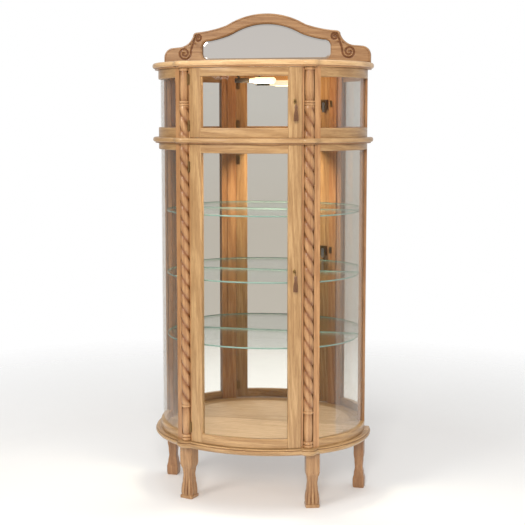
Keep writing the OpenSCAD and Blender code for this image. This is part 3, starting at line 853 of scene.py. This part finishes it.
def leg(name, node, turned, heights, material, toes=12, steps=144):
    low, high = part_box(node)
    cx, cy = (low.x + high.x) / 2, (low.y + high.y) / 2
    build = Build()
    made = []
    for z, half, square, carve in leg_rows(heights):
        ring = []
        shade_values = []
        for t in full_turn(steps):
            c, s = math.cos(t), math.sin(t)
            r = half / (abs(c) ** square + abs(s) ** square) ** (1 / square)
            cut = (1 - abs(math.cos(toes / 2 * t))) ** 1.5
            r *= 1 - carve * cut
            # Painted shade in the carved flutes, deeper where they cut deeper.
            shade_values.append(min(5.5 * carve * cut, 0.9))
            x = r * math.cos(t + turned)
            y = r * math.sin(t + turned)
            ring.append((cx + x, cy + y, z))
        made.append(build.row(ring, [(p[2], p[0], p[1]) for p in ring], shade_values))
    build.loft(made)
    build.piece(name, [material], "root", "oak", [node], 40)


LEG_TURN = math.radians(17)
LEG_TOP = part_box("base_moulding")[0].z
FRONT_LEG = [
    (0.0, 0.0272, 14, 0.0), (0.0014, 0.0285, 14, 0.0), (0.0105, 0.0285, 14, 0.0), (0.012, 0.0276, 12, 0.0),
    (0.013, 0.0255, 8, 0.05), (0.019, 0.0280, 6, 0.16), (0.034, 0.0284, 5, 0.17), (0.048, 0.0268, 5, 0.15),
    (0.072, 0.0228, 6, 0.12), (0.100, 0.0205, 7, 0.09), (0.122, 0.0226, 9, 0.06), (0.138, 0.0270, 14, 0.02),
    (0.146, 0.0280, 20, 0.0), (LEG_TOP, 0.0280, 20, 0.0),
]
REAR_LEG = [
    (0.0, 0.0215, 10, 0.0), (0.002, 0.0232, 10, 0.0), (0.012, 0.0248, 9, 0.0), (0.035, 0.0252, 8, 0.0),
    (0.060, 0.0205, 9, 0.0), (0.087, 0.0166, 10, 0.0), (0.118, 0.0184, 12, 0.0), (0.148, 0.0214, 18, 0.0),
    (LEG_TOP, 0.0215, 20, 0.0),
]
for side, word in ((-1, "left"), (1, "right")):
    leg(f"front_{word}_leg_carved", f"front_{word}_leg", side * LEG_TURN, FRONT_LEG, oak_leg)
    leg(f"rear_{word}_leg_shaped", f"rear_{word}_leg", 0.0, REAR_LEG, oak_rear)

# ---- Pediment --------------------------------------------------------------------------
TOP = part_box("pediment_board")[1].z
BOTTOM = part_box("pediment_board")[0].z
BOARD_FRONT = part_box("pediment_board")[0].y
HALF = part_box("pediment_board")[1].x
ARCH_R = 0.329
ARCH_W = 0.043
WING_R = 0.515
WING_AT = (0.341, TOP + 0.439)


def pediment_half():
    return (
        [(HALF, BOTTOM)]
        + arc(HALF - 0.040, TOP - 0.178, 0.040, 0, 90, 12)
        + arc(0.382, TOP - 0.064, 0.072, 270, 200, 12)
        + arc(0.298, TOP - 0.092, 0.018, 20, 95, 8)
        + arc(WING_AT[0], WING_AT[1], WING_R, 264.3, 250.6, 14)
        + arc(0, TOP - ARCH_R, ARCH_R, 64.6, 88, 14)
    )


def opening_half(grow=0.0):
    return (
        arc(0.246, TOP - 0.162, 0.029 + grow, 270, 360, 12)
        + arc(0.246, TOP - 0.139, 0.029 + grow, 1, 84, 12)
        + arc(WING_AT[0], WING_AT[1], WING_R + ARCH_W - grow, 259.8, 251.4, 12)
        + arc(0, TOP - ARCH_R, ARCH_R - ARCH_W + grow, 60.4, 88, 14)
    )


def both(half):
    """A right-hand half outline joined to its mirror image."""
    return half + [(-x, z) for x, z in half[::-1]]


def inset_loop(loop, by):
    """Moves a closed outline inwards; it runs anticlockwise."""
    moved = []
    n = len(loop)
    for i, (x, z) in enumerate(loop):
        ax, az = loop[i - 1]
        bx, bz = loop[(i + 1) % n]
        d1 = Vector((x - ax, z - az)).normalized()
        d2 = Vector((bx - x, bz - z)).normalized()
        normal = Vector((-(d1.y + d2.y), d1.x + d2.x)).normalized()
        stretch = 1 / max(normal.dot(Vector((-d1.y, d1.x))), 0.5)
        moved.append((x + normal.x * by * stretch, z + normal.y * by * stretch))
    return moved


def spiral(cx, cz, r0, r1, a0, turns, n):
    """Points winding anticlockwise from radius r0 to r1."""
    return [
        (cx + (r0 + (r1 - r0) * i / n) * math.cos(math.radians(a0 + 360 * turns * i / n)),
         cz + (r0 + (r1 - r0) * i / n) * math.sin(math.radians(a0 + 360 * turns * i / n)))
        for i in range(n + 1)
    ]


LARGE = (0.3527, TOP - 0.1622)
SMALL = (0.2930, TOP - 0.0995)


def scroll():
    """The right-hand carved scroll: a small and a large spiral joined by a long curve."""
    small = spiral(*SMALL, 0.0175, 0.0050, 0, 1.35, 90)[::-1]
    large = spiral(*LARGE, 0.0275, 0.0075, 180, 1.55, 150)
    a, b = small[-1], large[0]
    reach = (a[1] - b[1]) * 0.45
    joint = []
    for i in range(1, 48):
        t = i / 48
        w = ((1 - t) ** 3, 3 * (1 - t) ** 2 * t, 3 * (1 - t) * t * t, t ** 3)
        points = (a, (a[0] + 0.002, a[1] - reach), (b[0] - 0.002, b[1] + reach), b)
        joint.append(tuple(sum(k * p[axis] for k, p in zip(w, points)) for axis in (0, 1)))
    return small + joint + large


SCROLL = scroll()
DROPS = [(SMALL[0] + 0.036, TOP - 0.122, 0.0065), (SMALL[0] + 0.014, TOP - 0.122, 0.0050),
         (*LARGE, 0.0062), (*SMALL, 0.0046)]
CARVE = 0.0046
CARVE_W = 0.0052
CARVED_FROM_X = 0.25
RIM_OUT_W = 0.0085
RIM_IN_W = 0.0060
SEAT_Y = BACK_Y - 0.007


def carved(x, z):
    """Depth of the carving at a point of the board's front."""
    x = abs(x)
    if x < CARVED_FROM_X:
        return 0.0
    near = min((x - px) ** 2 + (z - pz) ** 2 for px, pz in SCROLL)
    depth = CARVE * max(0.0, 1 - near / CARVE_W ** 2) ** 1.2
    for px, pz, r in DROPS:
        gone = ((x - px) ** 2 + (z - pz) ** 2) / (r * r)
        depth = max(depth, 0.8 * CARVE * max(0.0, 1 - gone) ** 0.8)
    return depth


# Edge profiles, from the flat face to the wall: (share of the way, depth, painted shade)
RIM_OUT = [
    (0.0, 0.0, 0.0), (0.12, 0.0012, 0.45), (0.24, 0.0012, 0.45), (0.36, 0.0, 0.0), (0.62, 0.0, 0.0),
    (0.80, 0.0005, 0.0), (0.93, 0.0018, 0.0), (1.0, 0.0036, 0.0),
]
RIM_IN = [
    (0.0, 0.0, 0.0), (0.12, 0.0012, 0.5), (0.30, 0.0014, 0.1), (0.55, 0.0022, 0.0), (0.80, 0.0040, 0.1),
    (1.0, 0.0072, 0.5),
]


def pediment():
    """The arched board: carved front, eased edges, and a rebated opening for the mirror."""
    outer = both(pediment_half())
    hole = both(opening_half())
    eased_outer = inset_loop(outer, RIM_OUT_W)
    eased_hole = inset_loop(hole, -RIM_IN_W)
    fine = 0.0015
    extra = []
    for side in (-1, 1):
        nx, nz = int(0.122 / fine), int(0.145 / fine)
        for i in range(nx):
            for j in range(nz):
                x, z = 0.268 + i * fine, BOTTOM + 0.012 + j * fine
                near = min((x - px) ** 2 + (z - pz) ** 2 for px, pz in SCROLL[::6])
                if near < 0.009 ** 2:
                    extra.append((side * (x + (j % 2) * fine / 2), z))
    extra = [p for p in extra if inside_loop(p, eased_outer) and not inside_loop(p, eased_hole)]
    flat, faces = fill(eased_outer, [eased_hole], extra)
    build = Build()

    def wall(loop, y):
        return build.row([(x, y, z) for x, z in loop], [(x, z, 0.35) for x, z in loop])

    cuts = [carved(x, z) for x, z in flat]
    # The front's painted shade darkens the carving, more where it cuts deeper.
    front = build.row(
        [(x, BOARD_FRONT + cut, z) for (x, z), cut in zip(flat, cuts)],
        [(x, z, 0.3) for x, z in flat],
        [min(1.05 * cut / CARVE, 0.95) for cut in cuts],
    )
    for corners in faces:
        build.face([front[i] for i in corners])
    for loop, eased, inward in ((outer, eased_outer, 1), (hole, eased_hole, -1)):
        rows = []
        for t, depth, painted_shade in RIM_OUT if inward > 0 else RIM_IN:
            ring = [(e[0] + (o[0] - e[0]) * t, e[1] + (o[1] - e[1]) * t) for o, e in zip(loop, eased)]
            rows.append(build.row(
                [(x, BOARD_FRONT + depth, z) for x, z in ring],
                [(x, z, 0.3) for x, z in ring],
                [painted_shade] * len(ring),
            ))
        rows.append(wall(loop, BACK_Y if inward > 0 else SEAT_Y))
        build.rows(rows)
    rebate = both(opening_half(0.006))
    build.rows([wall(hole, SEAT_Y), wall(rebate, SEAT_Y), wall(rebate, BACK_Y)])
    build.flat(outer, [rebate], lambda x, z: (x, BACK_Y, z), lambda x, z: (x, z, 0.4))
    build.piece("pediment_board_carved", [oak_crest], "root", "oak", ["pediment_board"], 38)


def pediment_glass():
    """The arched mirror with a ground bevel round its edge."""
    low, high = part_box("pediment_mirror")
    loop = both(opening_half(0.0055))
    rows = []
    build = Build()
    for inset, y in ((0.0, high.y), (0.0, low.y + 0.0016), (0.013, low.y)):
        ring = inset_loop(loop, inset)
        rows.append(build.row([(x, y, z) for x, z in ring]))
    build.rows(rows)
    for inset, y, tag in ((0.0, high.y, 1), (0.013, low.y, 0)):
        ring = inset_loop(loop, inset)
        build.flat(ring, [], lambda x, z, y=y: (x, y, z), tag=tag)
    build.piece(
        "pediment_mirror_bevelled", [mirror, mirror_back], "root", "mirror", ["pediment_mirror"], 3
    )


pediment()
pediment_glass()


# ---- Keys, escutcheons and tassels -----------------------------------------------------
def door_frame(z):
    """A place on the lock stile: x to the right, y into the door, z up."""
    ca, sa = math.cos(LOCK_A), math.sin(LOCK_A)
    ox, oy, _ = on_front(LOCK_A, 0, z)

    def place(x, y, h):
        return (ox + x * ca - y * sa, oy + x * sa + y * ca, z + h)

    return place


BOW_OUT = 0.024
BOW_R = 0.009
KEY_EDGES = (0.0003,) * 4
TASSEL_OUT = 0.0315


def escutcheon(tier, place):
    """A shaped oval plate with a raised rim, a keyhole and two pins."""
    build = Build()
    count = 40
    rows = []
    for share, y in ((1.0, 0.0012), (1.0, -0.0002), (0.93, -0.0006), (0.84, -0.0006), (0.76, -0.0002)):
        ring = []
        for t in full_turn(count):
            w = 0.0050 * share
            h = 0.0100 * share * (1 + 0.06 * math.cos(4 * t))
            ring.append(place(w * math.cos(t), y, h * math.sin(t)))
        rows.append(build.row(ring))
    hole = []
    for t in full_turn(count):
        x, h = 0.0029 * math.cos(t), 0.0029 * math.sin(t)
        if math.sin(t) < -0.55:
            x, h = 0.0014 * (1 if math.cos(t) > 0 else -1), max(-0.0062, 0.0062 * math.sin(t))
        hole.append((x, h))
    rows.append(build.row([place(x, -0.0002, h) for x, h in hole]))
    rows.append(build.row([place(x, 0.0012, h) for x, h in hole]))
    build.rows(rows)
    for h in (-0.0083, 0.0083):
        lathe(
            build, [(0.0009, 0.0), (0.0009, 0.0006), (0.0006, 0.0010), (0.0002, 0.0011)],
            lambda x, y, z, h=h: place(x, -z, h + y), 12,
        )
    build.piece(f"{tier}_escutcheon_plate", [brass], f"{tier}_door", "brass", [f"{tier}_escutcheon"], 30)


def key(tier, place):
    """A turned shank with collars, a pierced bow and a bit."""
    build = Build()
    shank = [(0.0018, 0.0307), (0.0024, 0.0300), (0.0024, 0.0), (0.0024, -0.004), (0.0036, -0.0045),
             (0.0036, -0.0062), (0.0026, -0.0068), (0.0026, -0.0085), (0.0034, -0.0090),
             (0.0034, -0.0104), (0.0022, -0.0112), (0.0020, -0.0158)]
    lathe(build, shank, lambda x, y, z: place(x, z, y), 20)
    rows = []
    for t in full_turn(44):
        radius = BOW_R - 0.0016
        lobe = 1 + 0.05 * math.cos(3 * t)
        ring = []
        for u in full_turn(10):
            r = radius * lobe + 0.0015 * math.cos(u)
            ring.append(place(0.0013 * math.sin(u), -BOW_OUT + r * math.cos(t), r * math.sin(t) * 0.97))
        rows.append(build.row(ring))
    build.rows(rows + [rows[0]])
    bit = rounded(0.0163, 0.0196, -0.0079, -0.0015, KEY_EDGES, 2)
    build.loft([build.row([place(x, y, h) for y, h in bit]) for x in (-0.0011, 0.0011)])
    tang = rounded(-0.0016, 0.0016, -0.0016, 0.0016, KEY_EDGES, 2)
    build.loft([build.row([place(x, y, h) for x, h in tang]) for y in (0.0300, 0.0328)])
    build.piece(f"{tier}_key_cut", [brass_dark], f"{tier}_key", "brass", [f"{tier}_key"], 35)


def tassel(tier, place, seed):
    """Loop, knot, bound neck and a skirt of separate twisted threads."""
    build = Build()
    dice = random.Random(seed)

    def hang(x, y, h):
        return place(x, y - TASSEL_OUT, h)

    for side in (-1, 1):
        path = [hang(side * 0.0016 * math.sin(math.pi * i / 10), 0.0005 * i / 10, -0.0092 - 0.0058 * i / 10)
                for i in range(11)]
        tube(build, path, 0.0006, 8)
    head = [(0.0006, -0.0128), (0.0030, -0.0136), (0.0049, -0.0158), (0.0058, -0.0195), (0.0060, -0.0228),
            (0.0052, -0.0252), (0.0043, -0.0262)]
    lathe(build, head, hang, 28)
    for k in range(5):
        z = -0.0262 - 0.0011 * k
        ring = [hang(0.0044 * math.cos(t), 0.0044 * math.sin(t), z + 0.0003 * math.sin(t))
                for t in (2 * math.pi * i / 24 for i in range(25))]
        tube(build, ring, 0.00062, 6)
    for row, (count, spread) in enumerate(((16, 0.30), (24, 0.62), (32, 0.95))):
        for i in range(count):
            t = 2 * math.pi * (i + 0.5 * row) / count + dice.uniform(-0.05, 0.05)
            low = -0.0745 + dice.uniform(-0.0008, 0.0018) + 0.001 * (row == 0)
            path = []
            for k in range(9):
                u = k / 8
                flare = 0.0082 * (1 - (1 - u) ** 2.2) - 0.0036 * u * 0.9
                r = (0.0036 + flare * spread) * (0.55 + 0.45 * spread)
                r += dice.uniform(-0.0002, 0.0002)
                path.append(hang(r * math.cos(t), r * math.sin(t), -0.0305 + (low + 0.0305) * u))
            tube(build, path, 0.00072, 5)
    node = f"{tier}_tassel"
    build.piece(f"{node}_threads", [tassel_thread], node, "tassel_thread", [node], 60)


for tier in ("lower", "upper"):
    spot = door_frame(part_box(f"{tier}_key")[1].z - BOW_R)
    escutcheon(tier, spot)
    key(tier, spot)
    tassel(tier, spot, 11 if tier == "lower" else 23)

# ---- Small hardware --------------------------------------------------------------------
FRONT_PIN_A = math.radians(34.5)
FRONT_PIN_LENGTH = 0.019
LEAF_T = 0.0014
LEAF_HALF = 0.020
SCREW_PITCH = 0.013
SCREW_ROWS = (0.0045, 0.0125)
SIDE_PINS_FROM_X = 0.35
SCREW = [(0.0024, -0.0004), (0.0024, 0.0002), (0.0020, 0.0006), (0.0004, 0.0007)]


def pin(build, at, way, length, r):
    """A shelf pin: a round stem with a dished collar."""
    way = Vector(way).normalized()
    side = way.cross(Vector((0, 0, 1))).normalized()
    up = side.cross(way)
    at = Vector(at)

    def place(x, y, z):
        return tuple(at + side * x + up * y + way * z)

    lathe(build, [(0.0008, 0.0), (r, 0.0006), (r, length - 0.0008), (r * 0.7, length)], place, 18)


def loose_parts(mesh):
    """The points of each separate solid in a mesh."""
    bm = bmesh.new()
    bm.from_mesh(mesh)
    bmesh.ops.remove_doubles(bm, verts=bm.verts, dist=1e-5)
    seen = set()
    parts = []
    for start in bm.verts:
        if start in seen:
            continue
        part, todo = [], [start]
        seen.add(start)
        while todo:
            v = todo.pop()
            part.append(v.co.copy())
            for other in (e.other_vert(v) for e in v.link_edges):
                if other not in seen:
                    seen.add(other)
                    todo.append(other)
        parts.append(part)
    bm.free()
    return parts


def shelf_pins():
    """One turned pin in the place of each CAD pin: the side ones lie along X."""
    build = Build()
    for part in loose_parts(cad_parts["shelf_pins"].data):
        middle = sum(part, Vector()) / len(part)
        r = (max(p.z for p in part) - min(p.z for p in part)) / 2
        if abs(middle.x) > SIDE_PINS_FROM_X:
            way = Vector((1, 0, 0))
            length = max(p.x for p in part) - min(p.x for p in part)
        else:
            a = math.copysign(FRONT_PIN_A, middle.x)
            way = Vector((-math.sin(a), math.cos(a), 0))
            length = FRONT_PIN_LENGTH
        pin(build, middle - way * length / 2, way, length, r)
    build.piece("shelf_pins_turned", [steel], "root", "steel", ["shelf_pins"], 35)


def hinge_screws():
    """Domed screws in the hinge leaves on the back of each door stile."""
    ca, sa = math.cos(-DOOR_A), math.sin(-DOOR_A)
    ox, oy, _ = on_front(-DOOR_A, 0, 0)
    for tier in ("lower", "upper"):
        build = Build()
        low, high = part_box(f"{tier}_door_hinge_leaves")
        for middle in (low.z + LEAF_HALF, high.z - LEAF_HALF):
            for rise in (-SCREW_PITCH, 0.0, SCREW_PITCH):
                for s in SCREW_ROWS:
                    def place(x, y, z, s=s, h=middle + rise):
                        lx, ly = s + x, DOOR_T + LEAF_T + z
                        return (ox + lx * ca - ly * sa, oy + lx * sa + ly * ca, h + y)

                    lathe(build, SCREW, place, 16)
        build.piece(f"{tier}_door_hinge_screws", [brass_dark], f"{tier}_door", "brass", (), 35)


shelf_pins()
hinge_screws()


# ---- Lamp ------------------------------------------------------------------------------
def lamp():
    """A stepped socket under the crown and a lit tubular bulb."""
    low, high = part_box("lamp_socket")
    bulb_low, bulb_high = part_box("lamp_bulb")
    y = (bulb_low.y + bulb_high.y) / 2
    z = (bulb_low.z + bulb_high.z) / 2
    x0, x1 = low.x, bulb_low.x

    def level(px, py, pz):
        return (pz, y + px, z + py)

    socket = Build()
    barrel = [(0.004, x0 + 0.0005), (0.0085, x0 + 0.001), (0.0098, x0 + 0.004), (0.0098, x0 + 0.020),
              (0.0088, x0 + 0.021), (0.0088, x0 + 0.024), (0.0099, x0 + 0.025), (0.0099, x1 - 0.006),
              (0.0092, x1 - 0.005), (0.0099, x1 - 0.004), (0.0097, x1)]
    lathe(socket, barrel, level, 36)
    plate = rounded(x0 + 0.006, x0 + 0.054, y - 0.012, y + 0.012, (0.004,) * 4, 6)
    arm = rounded(x0 + 0.010, x0 + 0.020, y - 0.003, y + 0.003, (0.001,) * 4, 3)
    for outline, z0, z1 in ((plate, high.z, high.z - 0.003), (arm, high.z - 0.002, z + 0.006)):
        socket.loft([socket.row([(px, py, pz) for px, py in outline]) for pz in (z0, z1)])
    socket.piece("lamp_socket_turned", [socket_paint], "root", "lamp_metal", ["lamp_socket"], 35)
    bulb = Build()
    end = bulb_high.x
    r = (bulb_high.z - bulb_low.z) / 2
    shape = [(0.0079, x1), (0.0080, x1 + 0.010), (0.0095, x1 + 0.014)]
    shape += [(r * math.sin(math.radians(a)) if a < 90 else r, x1 + 0.022 + 0.004 * (a - 50) / 40)
              for a in (60, 75, 90)]
    shape += [(r, end - r - 0.03), (r, end - r)]
    shape += [
        (r * math.cos(a), end - r + r * math.sin(a)) for a in map(math.radians, (20, 40, 60, 75, 86))
    ]
    lathe(bulb, shape, level, 36)
    bulb.piece("lamp_bulb_frosted", [bulb_glow], "root", "bulb_glass", ["lamp_bulb"], 50)


lamp()

# ---- Floor, light and camera -----------------------------------------------------------
def floor_paint():
    """Matt pale floor that fades out far from the cabinet."""
    material, tree = new_material("pale_floor")
    place = add(tree, "TexCoord").outputs["Object"]
    cloud = add(tree, "TexNoise", {"Vector": place, "Scale": 1.5, "Detail": 2}).outputs["Fac"]
    tone = mix(tree, "MIX", cloud, (0.92, 0.917, 0.91), (0.95, 0.948, 0.942))
    values = {"Base Color": tone, "Roughness": 0.8, "Specular IOR Level": 0.2}
    matt = add(tree, "BsdfPrincipled", values)
    reach = add(tree, "VectorMath", {0: place}, operation="LENGTH").outputs["Value"]
    fade = add(tree, "MapRange", {"Value": reach, "From Min": 1.4, "From Max": 3.4})
    clear = add(tree, "BsdfTransparent")
    finish(tree, add(tree, "MixShader", {0: fade.outputs[0], 1: matt.outputs[0], 2: clear.outputs[0]}))
    return material


def stage_floor():
    """A wide plain disc, 4 m in radius."""
    rim = [(x, y, 0) for x, y in arc(0, 0, 4, 0, 356, 89)]
    mesh = bpy.data.meshes.new("floor")
    mesh.from_pydata(rim, [], [tuple(range(90))])
    obj = bpy.data.objects.new("floor", mesh)
    scene.collection.objects.link(obj)
    mesh.materials.append(floor_paint())


def light(name, kind, at, power, colour, shine, aim=None, **settings):
    """A lamp of any kind, turned towards a point where it has one to light."""
    data = bpy.data.lights.new(name, kind)
    data.energy = power
    data.color = colour
    for key, value in settings.items():
        setattr(data, key, value)
    obj = bpy.data.objects.new(name, data)
    obj.location = at
    if aim:
        obj.rotation_euler = (Vector(aim) - Vector(at)).to_track_quat("-Z", "Y").to_euler()
    obj.visible_glossy = shine
    scene.collection.objects.link(obj)
    return obj


def studio_lights():
    """Three soft lamps: a wide one in front, one at the left and one above."""
    for name, at, size, power, colour, shine in (
        ("key", (0.95, -5.2, 2.7), 1.6, 200, (1.0, 0.985, 0.96), False),
        ("left", (-2.4, -3.6, 3.1), 1.3, 56, (1.0, 0.98, 0.95), True),
        ("top", (0.3, -0.6, 4.4), 2.0, 22, (1.0, 0.98, 0.95), True),
    ):
        light(name, "AREA", at, power, colour, shine, (0, 0, 1.0), size=size)


def lamp_light():
    """The warm light that the bulb gives, from just beneath it."""
    low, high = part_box("lamp_bulb")
    at = ((low.x + high.x) / 2, low.y - 0.005, low.z - 0.016)
    light("lamp_light", "POINT", at, 2.6, (1.0, 0.72, 0.42), False, shadow_soft_size=0.012)


def inner_light():
    """Soft warm light from the deck down into the lower case."""
    low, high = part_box("deck_glass")
    at = (0, (low.y + high.y) / 2, low.z - 0.06)
    spread = math.radians(130)
    made = light("inner_light", "AREA", at, 5.6, (1.0, 0.84, 0.66), False, size=0.34, spread=spread)
    made.visible_camera = False


def studio_world():
    """White behind the cabinet, and a softer grey in front for the mirrors to show."""
    world = bpy.data.worlds.new("studio")
    world.use_nodes = True
    tree = world.node_tree
    tree.nodes.clear()
    place = add(tree, "TexCoord").outputs["Generated"]
    split = add(tree, "SeparateXYZ", {0: place})
    height = add(tree, "MapRange", {"Value": split.outputs["Z"], "From Min": -0.5, "From Max": 1.0})
    tone = ramp(tree, height.outputs[0], [
        (0.0, (0.84, 0.77, 0.70)), (0.27, (0.70, 0.64, 0.58)), (0.36, (0.76, 0.73, 0.71)),
        (0.55, (0.60, 0.59, 0.58)), (1.0, 0.80),
    ])
    across = add(tree, "MapRange", {"Value": split.outputs["X"], "From Min": -1.0, "From Max": 1.0})
    dim = ramp(
        tree, across.outputs[0], [(0.02, 0.24), (0.20, 0.90), (0.60, 0.95), (0.84, 1.0), (0.97, 0.78)]
    )
    room = add(tree, "Background", {"Color": mix(tree, "MULTIPLY", 1.0, tone, dim)})
    plain = add(tree, "Background", {"Color": (1, 1, 1, 1)})
    seen = add(tree, "LightPath").outputs["Is Camera Ray"]
    blend = add(tree, "MixShader", {0: seen, 1: room.outputs[0], 2: plain.outputs[0]})
    add(tree, "OutputWorld", {0: blend.outputs[0]})
    scene.world = world


def studio_camera():
    """The photo's view: fitted place and turn, and a small upward shift."""
    data = bpy.data.cameras.new("camera")
    data.lens = 76.8
    data.shift_y = -0.0527
    camera = bpy.data.objects.new("camera", data)
    camera.location = (1.0065, -4.4323, 1.5686)
    camera.rotation_euler = (math.radians(84), 0, math.radians(12.38))
    scene.collection.objects.link(camera)
    scene.camera = camera


stage_floor()
studio_lights()
lamp_light()
inner_light()
studio_world()
scene.view_settings.view_transform = "Standard"
scene.cycles.transparent_max_bounces = 48
scene.cycles.max_bounces = 10

studio_camera()
bpy.context.view_layer.update()
